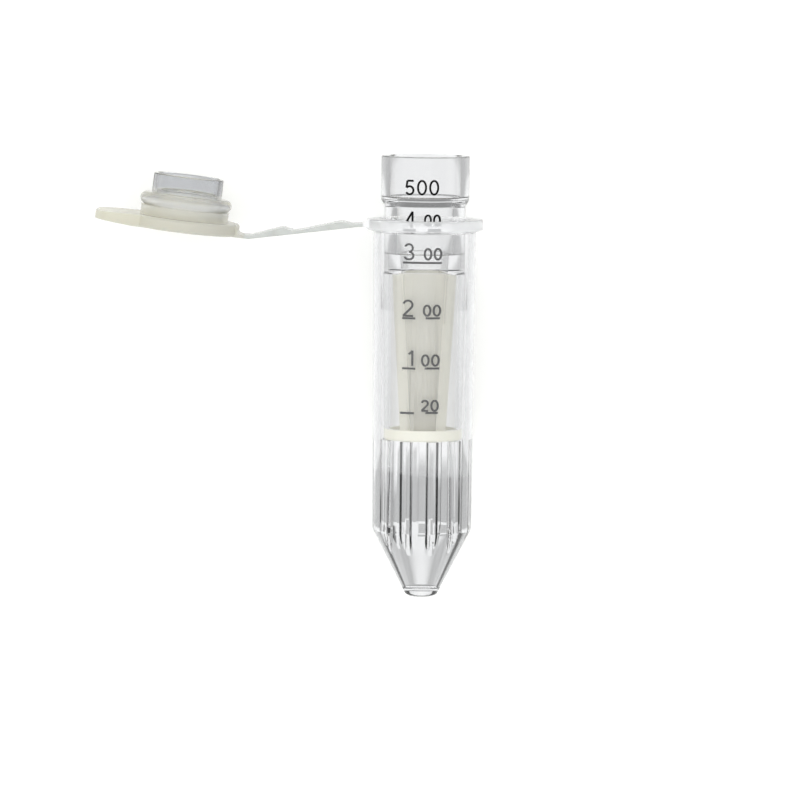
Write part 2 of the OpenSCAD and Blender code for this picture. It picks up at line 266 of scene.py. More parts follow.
def pieceSpace(tree, place):
    # upright millimetres on the piece's own axis, read from its Object coordinates
    _, turn, scale = place.decompose()
    coordinates = addNode(tree, "ShaderNodeTexCoord").outputs["Object"]
    return addNode(tree, "ShaderNodeMapping", {
        "Vector": coordinates, "Location": place.translation, "Rotation": turn.to_euler(), "Scale": scale,
    }, vector_type="TEXTURE").outputs[0]


def along(tree, space, direction, start, end, low, high):
    # a value that runs from low to high between two places along a direction
    place = addNode(tree, "ShaderNodeVectorMath", {
        0: space, 1: direction}, operation="DOT_PRODUCT").outputs["Value"]
    return addNode(tree, "ShaderNodeMapRange", {
        "Value": place, "From Min": start, "From Max": end, "To Min": low, "To Max": high}).outputs[0]


def letShadowThrough(tree, surface, tint):
    # clear plastic is lit through: its shadow is only a light tint
    path = addNode(tree, "ShaderNodeLightPath").outputs
    clear = addNode(tree, "ShaderNodeBsdfTransparent", {"Color": toLinear(tint)})
    mix = addNode(tree, "ShaderNodeMixShader", {
        0: path["Is Shadow Ray"], 1: surface.outputs[0], 2: clear.outputs[0]})
    addNode(tree, "ShaderNodeOutputMaterial", {"Surface": mix.outputs[0]})


tubeFinish = {
    "polishedTo": 13.5, "stepHeight": 0.2, "stepTilt": 0.08,  # where the mould's two halves meet
    "bloom": 0.04,  # the satin veil above that
    "milkyFrom": 5.5, "milkyTo": 6.2, "milky": 0.42,  # the thick flange, by distance from the axis
}


def clarifiedPolypropylene():
    # clarified polypropylene, moulded: clear, polished low down, a satin bloom above, and milky where it is thick
    material, tree = newMaterial("clarified polypropylene")
    f = tubeFinish
    space = pieceSpace(tree, laid)
    stepLow = f["polishedTo"] - f["stepHeight"] / 2
    bloom = along(tree, space, (f["stepTilt"], 0, 1), stepLow, stepLow + f["stepHeight"], 0.0, 1.0)
    flat = addNode(tree, "ShaderNodeVectorMath", {0: space, 1: (1, 1, 0)}, operation="MULTIPLY").outputs[0]
    radius = addNode(tree, "ShaderNodeVectorMath", {0: flat}, operation="LENGTH").outputs["Value"]
    milky = addNode(tree, "ShaderNodeMapRange", {
        "Value": radius, "From Min": f["milkyFrom"], "From Max": f["milkyTo"],
        "To Min": 0.0, "To Max": f["milky"]}).outputs[0]
    veil = addNode(tree, "ShaderNodeMath", {
        0: bloom, 1: f["bloom"], 2: milky}, operation="MULTIPLY_ADD").outputs[0]
    clearness = addNode(tree, "ShaderNodeMath", {0: 1.0, 1: veil}, operation="SUBTRACT").outputs[0]
    surface = addNode(tree, "ShaderNodeBsdfPrincipled", {
        "Base Color": toLinear("#FEFEFE"), "Roughness": 0.0, "IOR": 1.49, "Transmission Weight": clearness})
    letShadowThrough(tree, surface, "#FEFEFE")
    return material


capFinish = {
    "cloudyTo": 1.0, "clearFrom": 3.7,  # heights on the disc's axis
    "cloudy": 0.35, "clear": 0.97, "satin": 0.25,
    "greyTo": 4.0, "creamFrom": 15.0,  # from the strap's side of the disc to its tab
}


def mouldedPolypropylene():
    # the same polymer in the cap: clear in the thin plug, cloudy in the bead, and creamy in the thick disc
    material, tree = newMaterial("moulded polypropylene")
    f = capFinish
    space = pieceSpace(tree, capPlace)
    clearness = along(tree, space, (0, 0, 1), f["cloudyTo"], f["clearFrom"], f["cloudy"], f["clear"])
    thinness = along(tree, space, (0, 0, 1), f["cloudyTo"], f["clearFrom"], 0.0, 1.0)
    roughness = along(tree, space, (0, 0, 1), f["cloudyTo"], f["clearFrom"], f["satin"], 0.0)
    # greyer on the strap's side of the disc, creamier towards the tab
    towardsTab = along(tree, space, (1, 0, 0), f["greyTo"], f["creamFrom"], 0.0, 1.0)
    thick = addNode(tree, "ShaderNodeMix", {
        "Factor": towardsTab, "A": toLinear("#D2D0C6"), "B": toLinear("#E0DDCC"),
    }, data_type="RGBA").outputs["Result"]
    colour = addNode(tree, "ShaderNodeMix", {
        "Factor": thinness, "A": thick, "B": toLinear("#FAFBFD"),
    }, data_type="RGBA").outputs["Result"]
    surface = addNode(tree, "ShaderNodeBsdfPrincipled", {
        "Base Color": colour, "Roughness": roughness, "IOR": 1.49, "Transmission Weight": clearness,
        "Subsurface Weight": 0.5, "Subsurface Radius": (1.0, 0.95, 0.85), "Subsurface Scale": 0.002})
    letShadowThrough(tree, surface, "#EDECE4")
    return material


def hingePolypropylene():
    # the flexed strap: the same polymer, whitened a little by its bends
    material, tree = newMaterial("flexed polypropylene")
    surface = addNode(tree, "ShaderNodeBsdfPrincipled", {
        "Base Color": toLinear("#D6D8D4"), "Roughness": 0.2, "IOR": 1.49, "Transmission Weight": 0.4,
        "Subsurface Weight": 0.5, "Subsurface Radius": (1.0, 0.95, 0.85), "Subsurface Scale": 0.002})
    letShadowThrough(tree, surface, "#E4E4E0")
    return material


def clearStyrenic():
    # a clear styrenic moulding: harder, sharper and glossier than the tube
    material, tree = newMaterial("clear styrenic")
    surface = addNode(tree, "ShaderNodeBsdfPrincipled", {
        "Base Color": toLinear("#FEFEFE"), "Roughness": 0.0, "IOR": 1.57, "Transmission Weight": 1.0})
    letShadowThrough(tree, surface, "#FEFEFE")
    return material


def hazyStyrenic():
    # the channel frame: a thick styrenic moulding with a cream haze
    material, tree = newMaterial("hazy styrenic")
    surface = addNode(tree, "ShaderNodeBsdfPrincipled", {
        "Base Color": toLinear("#FBF9EF"), "Roughness": 0.12, "IOR": 1.57, "Transmission Weight": 0.4,
        "Subsurface Weight": 0.2, "Subsurface Radius": (1.0, 0.97, 0.9), "Subsurface Scale": 0.0004})
    letShadowThrough(tree, surface, "#F0EFE8")
    return material


def creamPolymer():
    # cream support polymer under the membranes: matt, and it lets some light through
    material, tree = newMaterial("cream polymer")
    surface = addNode(tree, "ShaderNodeBsdfPrincipled", {
        "Base Color": toLinear("#FAF7E8"), "Roughness": 0.5, "IOR": 1.5,
        "Subsurface Weight": 0.3, "Subsurface Radius": (1.0, 0.97, 0.9), "Subsurface Scale": 0.0004})
    letShadowThrough(tree, surface, "#D8D6CC")
    return material


def printedInk():
    # black pad-printing ink: a thin dull film
    material, tree = newMaterial("black ink")
    surface = addNode(tree, "ShaderNodeBsdfPrincipled", {
        "Base Color": toLinear("#0C0C0E"), "Roughness": 0.6, "Specular IOR Level": 0.2})
    addNode(tree, "ShaderNodeOutputMaterial", {"Surface": surface.outputs[0]})
    return material


tubePlastic = clarifiedPolypropylene()
capPlastic = mouldedPolypropylene()
strapPlastic = hingePolypropylene()
housingPlastic = clearStyrenic()
framePlastic = hazyStyrenic()
cream = creamPolymer()
ink = printedInk()
print("stage: materials made")

ribs = {"count": 10, "width": 1.2, "noseRadius": 3.5, "top": 17.1, "turnDegrees": 13.4}
# two more rings keep the ribs' cuts off the rest of the cone and the bore
quietRings = {"upCone": 0.62, "overRibs": 0.2}


def boreRadius(height):
    # the bore follows the draft of the outside
    return tube["lowRadius"] - tube["wall"] + draft * (height - tube["shoulderHeight"])


def tubeOutside():
    t = tube
    return turned(rounded([
        (0, 0, 0), (t["baseRadius"], 0, t["baseRound"]), (t["lowRadius"], t["shoulderHeight"], t["shoulderRound"]),
        (t["topRadius"], flangeUnder, t["rootRound"]), (t["flangeRadius"], flangeUnder, t["edgeRound"]),
        (t["flangeRadius"], t["height"], t["edgeRound"]), (0, t["height"], 0)]))


def tubeHollow():
    t = tube
    narrow = t["height"] - t["mouthDepth"]
    slope = narrow - t["mouthSlope"]
    lead = t["mouthRadius"] + t["mouthLead"]
    top = t["height"] + over
    overRibs = ribs["top"] + quietRings["overRibs"]
    share = quietRings["upCone"]
    shoulder = boreRadius(t["shoulderHeight"])
    coneRing = (t["floorRadius"] + (shoulder - t["floorRadius"]) * share,
                t["floor"] + (t["shoulderHeight"] - t["floor"]) * share, 0)
    return turned(rounded([
        (0, t["floor"], 0), (t["floorRadius"], t["floor"], t["floorRound"]),
        coneRing, (shoulder, t["shoulderHeight"], t["coneRound"]),
        (boreRadius(overRibs), overRibs, 0), (boreRadius(slope), slope, t["slopeFoot"]),
        (t["mouthRadius"], narrow, t["slopeHead"]), (t["mouthRadius"], t["height"] - t["mouthLead"], 0),
        (lead, t["height"], 0), (lead, top, 0), (0, top, 0)]))


def strapRoot():
    # where the strap's film leaves the flange: a hollow curve above it and a flare below
    s = strap
    half = s["film"] / 2
    x, z = hinges[0]
    tip = s["bend"] + s["pastBend"]
    start = s["reach"] - s["rootInset"]
    buried = start + s["rootBury"]
    head = half + s["rootHead"]
    outline = rounded([
        (tip, -half, 0), (start, -half, s["filmRound"]), (start + s["rootFlare"], -s["rise"], 0),
        (buried, -s["rise"], 0), (buried, head, 0), (start + s["rampLength"], head, 0),
        (start, half, s["rampLength"]), (tip, half, 0)])
    return extruded([(x + a, z + b) for a, b in outline], -s["width"] / 2, s["width"] / 2, axis="y")


def ribbedHollowTree():
    # the hollow of the tube, less one slot for each rib round the axis
    tree, sockets = newTree("ribbed hollow", {
        "Count": "NodeSocketInt", "Width": "NodeSocketFloat", "Nose Radius": "NodeSocketFloat",
        "Outer Radius": "NodeSocketFloat", "Top": "NodeSocketFloat", "Turn": "NodeSocketFloat"})
    given = addNode(tree, "NodeGroupInput").outputs
    values = {label: given[label] for label in sockets}
    values["Index"] = addNode(tree, "GeometryNodeInputIndex").outputs[0]
    for name, a, operation, b in (
            ("Half Width", "Width", "MULTIPLY", 0.5),
            ("Nose Centre", "Nose Radius", "ADD", "Half Width"),
            ("Web Length", "Outer Radius", "SUBTRACT", "Nose Centre"),
            ("Half Web", "Web Length", "MULTIPLY", 0.5),
            ("Web Middle", "Nose Centre", "ADD", "Half Web"),
            ("Half Top", "Top", "MULTIPLY", 0.5),
            ("Step", 2 * math.pi, "DIVIDE", "Count"),
            ("Steps", "Index", "MULTIPLY", "Step"),
            ("Angle", "Steps", "ADD", "Turn")):
        values[name] = addNode(tree, "ShaderNodeMath", {
            0: values.get(a, a), 1: values.get(b, b)}, operation=operation).outputs[0]
    nose = addNode(tree, "GeometryNodeMeshCylinder", {
        "Vertices": 64, "Radius": values["Half Width"], "Depth": given["Top"]})
    nosePlace = addNode(tree, "ShaderNodeCombineXYZ", {0: values["Nose Centre"], 2: values["Half Top"]})
    noseMoved = addNode(tree, "GeometryNodeTransform", {
        "Geometry": nose.outputs[0], "Translation": nosePlace.outputs[0]})
    webSize = addNode(tree, "ShaderNodeCombineXYZ", {
        0: values["Web Length"], 1: given["Width"], 2: given["Top"]})
    web = addNode(tree, "GeometryNodeMeshCube", {"Size": webSize.outputs[0]})
    webPlace = addNode(tree, "ShaderNodeCombineXYZ", {0: values["Web Middle"], 2: values["Half Top"]})
    webMoved = addNode(tree, "GeometryNodeTransform", {
        "Geometry": web.outputs[0], "Translation": webPlace.outputs[0]})
    union = addNode(tree, "GeometryNodeMeshBoolean", operation="UNION", solver="EXACT")
    tree.links.new(noseMoved.outputs[0], union.inputs["Mesh 2"])
    tree.links.new(webMoved.outputs[0], union.inputs["Mesh 2"])
    points = addNode(tree, "GeometryNodePoints", {"Count": given["Count"]})
    spin = addNode(tree, "ShaderNodeCombineXYZ", {2: values["Angle"]})
    spun = addNode(tree, "GeometryNodeInstanceOnPoints", {
        "Points": points.outputs[0], "Instance": union.outputs[0], "Rotation": spin.outputs[0]})
    real = addNode(tree, "GeometryNodeRealizeInstances", {0: spun.outputs[0]})
    cut = addNode(tree, "GeometryNodeMeshBoolean", {
        "Mesh 1": given["Geometry"]}, operation="DIFFERENCE", solver="EXACT")
    tree.links.new(real.outputs[0], cut.inputs["Mesh 2"])
    whole = addNode(tree, "GeometryNodeRealizeInstances", {0: cut.outputs[0]})
    painted = addNode(tree, "GeometryNodeSetMaterial", {"Geometry": whole.outputs[0], "Material": tubePlastic})
    addNode(tree, "NodeGroupOutput", {0: painted.outputs[0]})
    return tree, sockets


ribTree, ribInputs = ribbedHollowTree()
ribbedHollow = throughTree(tubeHollow(), ribTree, {
    ribInputs["Count"]: ribs["count"], ribInputs["Width"]: ribs["width"],
    ribInputs["Nose Radius"]: ribs["noseRadius"], ribInputs["Outer Radius"]: tube["topRadius"],
    ribInputs["Top"]: ribs["top"], ribInputs["Turn"]: math.radians(ribs["turnDegrees"] - 90)})
tubeMesh = combined(combined(tubeOutside(), strapRoot(), "UNION"), ribbedHollow, "DIFFERENCE")
piece("collectionTube", smoothed(tubeMesh), laid, "tube", ["collection_tube"], tubePlastic)
print("stage: tube made", len(tubeMesh.polygons))

housing = {
    "low": 18.3, "lowRadius": 4.18, "sleeveTop": 35.0, "topRadius": 4.406, "bore": 3.63,
    "ring": 0.14,  # width of the small ring between the sleeve and the neck
    "neckRadius": 4.326, "neckBore": 3.0, "neckRound": 0.3, "shelf": 1.9, "shelfRound": 0.15,
    "collarLow": 41.95, "collarSlope": 0.65, "collarTop": 47.3, "collarRadius": 4.7, "collarBore": 3.8,
    "throatHeight": 42.95, "throatRound": 0.08, "rimRound": 0.12, "rimLead": 0.15,
    "baseRound": 0.3, "baseOver": 2.0,
}
channel = {"topHalf": 2.1, "lowHalf": 1.28, "lowHeight": 19.6, "radius": 2.9}


def housingShell():
    # the clear sleeve, its shelf, the neck and the collar, as one turned wall
    h = housing
    corner = h["collarLow"] + h["collarSlope"]
    shelfTop = h["sleeveTop"] + h["shelf"]
    return turned(rounded([
        (h["bore"], h["low"], 0), (h["lowRadius"], h["low"], 0), (h["topRadius"], h["sleeveTop"] - h["ring"], 0),
        (h["topRadius"] - h["ring"], h["sleeveTop"], 0), (h["neckRadius"], h["sleeveTop"] + h["ring"] / 2, 0),
        (h["neckRadius"], h["collarLow"], h["neckRound"]), (h["collarRadius"], corner, h["neckRound"]),
        (h["collarRadius"], h["collarTop"], h["rimRound"]), (h["collarBore"] + h["rimLead"], h["collarTop"], 0),
        (h["collarBore"], h["collarTop"] - h["rimLead"], 0),
        (h["collarBore"], h["throatHeight"], h["throatRound"]),
        (h["neckBore"], h["throatHeight"], h["throatRound"]), (h["neckBore"], shelfTop, h["shelfRound"]),
        (0, shelfTop, 0), (0, h["sleeveTop"], 0),
        (h["bore"], h["sleeveTop"], 0)]))


def channelHalf(height):
    # half the width of the tapering sample channel
    topHeight = housing["sleeveTop"] + housing["shelf"]
    share = (height - channel["lowHeight"]) / (topHeight - channel["lowHeight"])
    return channel["lowHalf"] + (channel["topHalf"] - channel["lowHalf"]) * share


def channelCutter(low, high):
    # the channel between two heights: a round bore between two sloping sides
    r = channel["radius"]
    bar = turned([(0, low), (r, low), (r, high), (0, high)])
    sides = extruded([(-channelHalf(low), low), (channelHalf(low), low),
                      (channelHalf(high), high), (-channelHalf(high), high)], -2 * r, 2 * r, axis="y")
    return combined(bar, sides, "INTERSECT")


shelfCut = channelCutter(housing["sleeveTop"] - over, housing["sleeveTop"] + housing["shelf"] + over)
housingMesh = smoothed(combined(housingShell(), shelfCut, "DIFFERENCE"))
piece("filterHousing", housingMesh, laid, "tube", ["filter_housing"], housingPlastic)


def copied(node, sharpDegrees=30):
    # a CAD node's own shape, welded and shaded smooth
    mesh = frame["nodes"][node].data.copy()
    return smoothed(mesh, sharpDegrees, merge=1e-6)


def roundedBase():
    # the base of the filter unit, with its lower edge rounded
    mesh = copied("filter_base")
    mesh.transform(laid.inverted())
    low, high, radius = ribs["top"], ribs["top"] + housing["baseOver"], housing["lowRadius"]
    return smoothed(combined(mesh, turned(rounded([
        (0, low, 0), (radius, low, housing["baseRound"]), (radius, high, 0), (0, high, 0)])), "INTERSECT"), 40)


innerParts = {
    "channelFrame": ("channel_frame", framePlastic, "clear_styrenic"),
    "membraneLeft": ("membrane_left", cream, "cellulose_membrane"),
    "membraneRight": ("membrane_right", cream, "cellulose_membrane"),
    "supportLeft": ("support_left", cream, "cream_support"),
    "supportRight": ("support_right", cream, "cream_support"),
}
for name, (node, material, slot) in innerParts.items():
    piece(name, copied(node), Matrix.Identity(4), "tube", [node], material)
piece("filterBase", roundedBase(), laid, "tube", ["filter_base"], cream)
print("stage: filter unit made")

marks = {
    "stroke": 0.22, "thickness": 0.012,
    "step": 0.82,  # from one figure to the next, as a share of their height
    "grain": 0.06,  # length of the ribbons' steps
    "figures": [  # (figures, their height, left end, foot)
        ("500", 1.56, -2.14, 43.33),
        ("4", 1.78, -2.08, 39.84), ("00", 1.16, -0.07, 40.06),
        ("3", 1.74, -2.12, 36.46), ("00", 1.22, -0.06, 36.5),
        ("2", 1.76, -2.16, 30.48), ("00", 1.18, -0.08, 30.55),
        ("1", 1.7, -1.72, 25.24), ("00", 1.22, -0.22, 25.24),
        ("20", 1.18, -0.2, 20.43)],
    "dashes": [  # (height, left end, right end)
        (39.65, -2.15, -0.88), (39.68, 0.28, 1.6), (36.18, -2.16, 1.73), (30.3, -2.16, -0.85), (30.33, 0.17, 1.59),
        (24.96, -2.1, -0.79), (25.0, 0.13, 1.6), (20.2, -2.27, -0.9), (20.25, 0.23, 1.49)],
}


def arc(x, y, radiusX, radiusY, start, end, steps=24):
    # part of an ellipse, between two angles in degrees
    turnBy = math.radians(end - start) / steps
    first = math.radians(start)
    return [(x + radiusX * math.cos(first + turnBy * k), y + radiusY * math.sin(first + turnBy * k))
            for k in range(steps + 1)]


def digitStrokes(digit):
    # centre lines of a plain numeral, one high and about two thirds wide
    return {
        "0": [arc(0.33, 0.5, 0.27, 0.46, 90, 450, 40)],
        "1": [[(0.14, 0.74), (0.27, 0.82), (0.36, 0.96)], [(0.36, 0.96), (0.36, 0.0)]],
        "2": [arc(0.32, 0.70, 0.25, 0.26, 165, -30) + [(0.06, 0.04)], [(0.04, 0.04), (0.62, 0.04)]],
        "3": [arc(0.31, 0.73, 0.22, 0.23, 160, -90), arc(0.31, 0.27, 0.26, 0.23, 90, -160)],
        "4": [[(0.43, 0.0), (0.43, 0.96)], [(0.43, 0.96), (0.04, 0.28)], [(0.02, 0.28), (0.57, 0.28)]],
        "5": [[(0.58, 0.95), (0.16, 0.95)], [(0.16, 0.95), (0.10, 0.48)], arc(0.31, 0.31, 0.26, 0.27, 144, -150)],
    }[digit]


def markStrokes():
    # every dash and numeral of the scale, as lines on a flat sheet
    strokes = [[(a, z), (b, z)] for z, a, b in marks["dashes"]]
    for figures, size, start, foot in marks["figures"]:
        for k, digit in enumerate(figures):
            strokes += [[(start + (k * marks["step"] + x) * size, foot + y * size) for x, y in stroke]
                        for stroke in digitStrokes(digit)]
    return strokes


def strokeCurve():
    curve = bpy.data.curves.new("marks", "CURVE")
    curve.dimensions = "3D"
    for stroke in markStrokes():
        spline = curve.splines.new("POLY")
        spline.points.add(len(stroke) - 1)
        for point, (x, z) in zip(spline.points, stroke):
            point.co = (x, 0, z, 1)
    return curve


def printTree():
    # each stroke as a flat ribbon, pressed on to the housing's collar, neck or sleeve
    tree, sockets = newTree("pressed print", {
        "Stroke": "NodeSocketFloat", "Thickness": "NodeSocketFloat", "Grain": "NodeSocketFloat",
        "Sleeve Top": "NodeSocketFloat", "Sleeve Radius": "NodeSocketFloat", "Sleeve Draft": "NodeSocketFloat",
        "Neck Radius": "NodeSocketFloat", "Collar Low": "NodeSocketFloat", "Collar Radius": "NodeSocketFloat"})
    given = addNode(tree, "NodeGroupInput").outputs
    fine = addNode(tree, "GeometryNodeResampleCurve", {
        "Curve": given["Geometry"], "Length": given["Grain"]}, mode="LENGTH")
    halfStroke = addNode(tree, "ShaderNodeMath", {0: given["Stroke"], 1: 0.5}, operation="MULTIPLY").outputs[0]
    side = addNode(tree, "ShaderNodeCombineXYZ", {1: halfStroke})
    otherSide = addNode(tree, "ShaderNodeVectorMath", {0: side.outputs[0], "Scale": -1.0}, operation="SCALE")
    profile = addNode(tree, "GeometryNodeCurvePrimitiveLine", {
        "Start": side.outputs[0], "End": otherSide.outputs[0]})
    facing = addNode(tree, "GeometryNodeSetCurveNormal", {
        "Curve": fine.outputs[0], "Normal": (0, -1, 0)}, mode="FREE")
    ribbon = addNode(tree, "GeometryNodeCurveToMesh", {
        "Curve": facing.outputs[0], "Profile Curve": profile.outputs[0]})
    position = addNode(tree, "GeometryNodeInputPosition").outputs[0]
    x, _, z = addNode(tree, "ShaderNodeSeparateXYZ", {0: position}).outputs
    upSleeve = addNode(tree, "ShaderNodeMath", {0: z, 1: given["Sleeve Top"]}, operation="SUBTRACT").outputs[0]
    sleeve = addNode(tree, "ShaderNodeMath", {
        0: upSleeve, 1: given["Sleeve Draft"], 2: given["Sleeve Radius"]}, operation="MULTIPLY_ADD").outputs[0]
    onNeck = addNode(tree, "ShaderNodeMath", {0: z, 1: given["Sleeve Top"]}, operation="GREATER_THAN").outputs[0]
    onCollar = addNode(tree, "ShaderNodeMath", {0: z, 1: given["Collar Low"]}, operation="GREATER_THAN").outputs[0]
    lower = addNode(tree, "ShaderNodeMix", {0: onNeck, 2: sleeve, 3: given["Neck Radius"]}).outputs[0]
    radius = addNode(tree, "ShaderNodeMix", {0: onCollar, 2: lower, 3: given["Collar Radius"]}).outputs[0]
    reach = addNode(tree, "ShaderNodeMath", {0: radius, 1: radius}, operation="MULTIPLY").outputs[0]
    aside = addNode(tree, "ShaderNodeMath", {0: x, 1: x}, operation="MULTIPLY").outputs[0]
    left = addNode(tree, "ShaderNodeMath", {0: reach, 1: aside}, operation="SUBTRACT").outputs[0]
    depth = addNode(tree, "ShaderNodeMath", {0: left}, operation="SQRT").outputs[0]
    front = addNode(tree, "ShaderNodeMath", {0: depth, 1: -1.0}, operation="MULTIPLY").outputs[0]
    pressed = addNode(tree, "ShaderNodeCombineXYZ", {0: x, 1: front, 2: z})
    moved = addNode(tree, "GeometryNodeSetPosition", {
        "Geometry": ribbon.outputs[0], "Position": pressed.outputs[0]})
    outward = addNode(tree, "ShaderNodeVectorMath", {
        0: addNode(tree, "GeometryNodeInputPosition").outputs[0], 1: (1, 1, 0)}, operation="MULTIPLY")
    outward = addNode(tree, "ShaderNodeVectorMath", {0: outward.outputs[0]}, operation="NORMALIZE")
    thick = addNode(tree, "GeometryNodeExtrudeMesh", {
        "Mesh": moved.outputs[0], "Offset": outward.outputs[0], "Offset Scale": given["Thickness"],
        "Individual": False})
    under = addNode(tree, "GeometryNodeFlipFaces", {"Mesh": moved.outputs[0]})
    joined = addNode(tree, "GeometryNodeJoinGeometry")
    tree.links.new(thick.outputs[0], joined.inputs[0])
    tree.links.new(under.outputs[0], joined.inputs[0])
    closed = addNode(tree, "GeometryNodeMergeByDistance", {"Geometry": joined.outputs[0], "Distance": 1e-5})
    whole = addNode(tree, "GeometryNodeRealizeInstances", {0: closed.outputs[0]})
    painted = addNode(tree, "GeometryNodeSetMaterial", {"Geometry": whole.outputs[0], "Material": ink})
    addNode(tree, "NodeGroupOutput", {0: painted.outputs[0]})
    return tree, sockets


markTree, markInputs = printTree()
sleeveDraft = (housing["topRadius"] - housing["lowRadius"]) / (housing["sleeveTop"] - housing["low"])
markMesh = throughTree(strokeCurve(), markTree, {
    markInputs["Stroke"]: marks["stroke"], markInputs["Thickness"]: marks["thickness"],
    markInputs["Grain"]: marks["grain"], markInputs["Sleeve Draft"]: sleeveDraft,
    markInputs["Sleeve Top"]: housing["sleeveTop"], markInputs["Sleeve Radius"]: housing["topRadius"],
    markInputs["Neck Radius"]: housing["neckRadius"], markInputs["Collar Low"]: housing["collarLow"],
    markInputs["Collar Radius"]: housing["collarRadius"]})
piece("scaleMarks", markMesh, laid, "tube", [], ink)
print("stage: marks made", len(markMesh.polygons))


strapWay = (hinges[2] - hinges[0]).normalized()


def strapOutline():
    # the whole strap from the side, from its root on the flange to the edge of the cap's disc
    s = strap
    half = s["film"] / 2
    tilt = math.radians(cap["tilt"])
    capWay = Vector((-math.cos(tilt), math.sin(tilt)))
    rootEnd = hinges[0] + Vector((s["bend"] + s["pastBend"], 0))
    capEnd = hinges[2] + capWay * (s["bend"] + s["pastBend"])

    def above(way):
        return Vector((way.y, -way.x))

    top = [(*(rootEnd + Vector((0, half))), 0)]
    for start, end, crest in ((hinges[0], hinges[1], s["innerCrest"]), (hinges[1], hinges[2], s["outerCrest"])):
        way = (end - start).normalized()
        for distance, height, radius in (
                (s["crestFrom"], half, s["filmRound"]), (s["crestAt"], crest - half, s["crestRound"]),
                ((end - start).length - s["taperStop"], half, s["filmRound"])):
            top.append((*(start + way * distance + above(way) * height), radius))
    top.append((*(capEnd + above(capWay) * half), 0))
    under = [(*(hinge - above(strapWay) * half), s["filmRound"]) for hinge in reversed(hinges)]
    return rounded(top + [(*(capEnd - above(capWay) * half), 0)] + under + [(*(rootEnd - Vector((0, half))), 0)])


def cutAcross(shell, point, normal, keep=False):
    # a cut through the strap at a point of its side view, keeping one side where asked
    parts = shell.verts[:] + shell.edges[:] + shell.faces[:]
    cut = bmesh.ops.bisect_plane(
        shell, geom=parts, dist=1e-6, plane_co=(point.x, 0, point.y), plane_no=(normal.x, 0, normal.y),
        clear_outer=keep)
    if keep:
        edges = [e for e in cut["geom_cut"] if isinstance(e, bmesh.types.BMEdge)]
        bmesh.ops.holes_fill(shell, edges=edges)


def strapPart(before, after, hinge):
    # the stretch of strap between two cuts, with fine cuts round its hinge
    mesh = extruded(strapOutline(), -strap["width"] / 2, strap["width"] / 2, axis="y")
    shell = bmesh.new()
    shell.from_mesh(mesh)
    sides = [e for e in shell.edges if len(e.link_faces) == 2
             and any(len(f.verts) > 4 for f in e.link_faces) and abs((e.verts[0].co - e.verts[1].co).y) < 1e-6]
    bmesh.ops.bevel(shell, geom=sides, offset=strap["edge"], segments=2, affect="EDGES")
    cuts = strap["bendCuts"]
    for k in range(-cuts, cuts + 1):
        cutAcross(shell, hinges[hinge] + strapWay * strap["bend"] * k / cuts, strapWay)
    if before is not None:
        cutAcross(shell, before, -strapWay, keep=True)
    if after is not None:
        cutAcross(shell, after, strapWay, keep=True)
    bmesh.ops.recalc_face_normals(shell, faces=shell.faces)
    shell.to_mesh(mesh)
    shell.free()
    return smoothed(mesh, 40, merge=1e-5)


middles = [(hinges[0] + hinges[1]) / 2, (hinges[1] + hinges[2]) / 2]
strapParts = (
    ("strapAtTube", None, middles[0], 0, ("tube", "inner_link"), ["strap_inner_link"]),
    ("strapMiddle", middles[0], middles[1], 1, ("inner_link", "outer_link"), []),
    ("strapAtCap", middles[1], None, 2, ("outer_link", "cap"), ["strap_outer_link"]))
for name, before, after, hinge, bodies, nodes in strapParts:
    made = piece(name, strapPart(before, after, hinge), laid, None, nodes, strapPlastic)
    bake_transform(made)
print("stage: strap made")


def capBody():
    # disc, straight ring, rounded bead and hollow plug, turned as one
    c = cap
    low = -strap["film"] / 2
    discTop = low + c["disc"]
    ringTop = discTop + c["ring"]
    sealTop = ringTop + c["seal"]
    plugTop = sealTop + c["plug"]
    hollow = c["plugRadius"] - c["plugWall"]
    lead = hollow + c["plugLead"]
    wellFloor = discTop + c["plugFloor"]
    bead = (c["seal"] - c["sealFlat"]) / 2
    body = turned(rounded([
        (0, low, 0), (c["discRadius"], low, c["discRound"]), (c["discRadius"], discTop, c["discRound"]),
        (c["ringRadius"], discTop, c["ringFoot"]), (c["ringRadius"], ringTop, c["ringHead"]),
        (c["sealRadius"], ringTop, bead), (c["sealRadius"], sealTop, bead),
        (c["plugRadius"], sealTop, c["plugFoot"]), (c["plugRadius"] - c["plugDraft"], plugTop, c["plugRound"]),
        (0, plugTop, 0)]))
    well = turned(rounded([
        (0, wellFloor, 0), (hollow - c["plugDraft"], wellFloor, c["floorRound"]),
        (hollow, plugTop - c["plugLead"], c["plugLead"]), (lead, plugTop, 0), (lead, plugTop + over, 0),
        (0, plugTop + over, 0)]))
    return combined(body, well, "DIFFERENCE")


def liftTab():
    # the tab that a thumb lifts: round corners in plan, thinning to its tip
    c = cap
    low = -strap["film"] / 2
    top = low + c["disc"]
    half = c["tabWidth"] / 2
    tip, thin, tipLow = c["tabReach"], c["tabFrom"], low + c["tabLift"]
    plan = extruded(rounded([
        (0, -half, 0), (tip, -half, c["tabCorner"]), (tip, half, c["tabCorner"]), (0, half, 0)],
        stepDegrees=4), low - over, top + over)
    side = extruded([(0, low), (thin, low), (tip, tipLow), (tip, tipLow + c["tabTip"]), (thin, top), (0, top)],
                    -c["tabWidth"], c["tabWidth"], axis="y")
    return combined(plan, side, "INTERSECT")


def capFilm():
    # the film from the strap's last hinge to the disc, with a hollow curve up to the disc's top
    half = strap["film"] / 2
    start = strap["bend"] + strap["pastBend"]
    edge = capReach - cap["discRadius"]
    buried = edge + cap["filmBury"]
    top = cap["disc"] - half
    outline = rounded([
        (start, -half, 0), (buried, -half, 0), (buried, top, 0), (edge + strap["rampLength"], top, 0),
        (edge, half, strap["filmRound"]), (start, half, 0)])
    return extruded(outline, -strap["width"] / 2, strap["width"] / 2, axis="y")


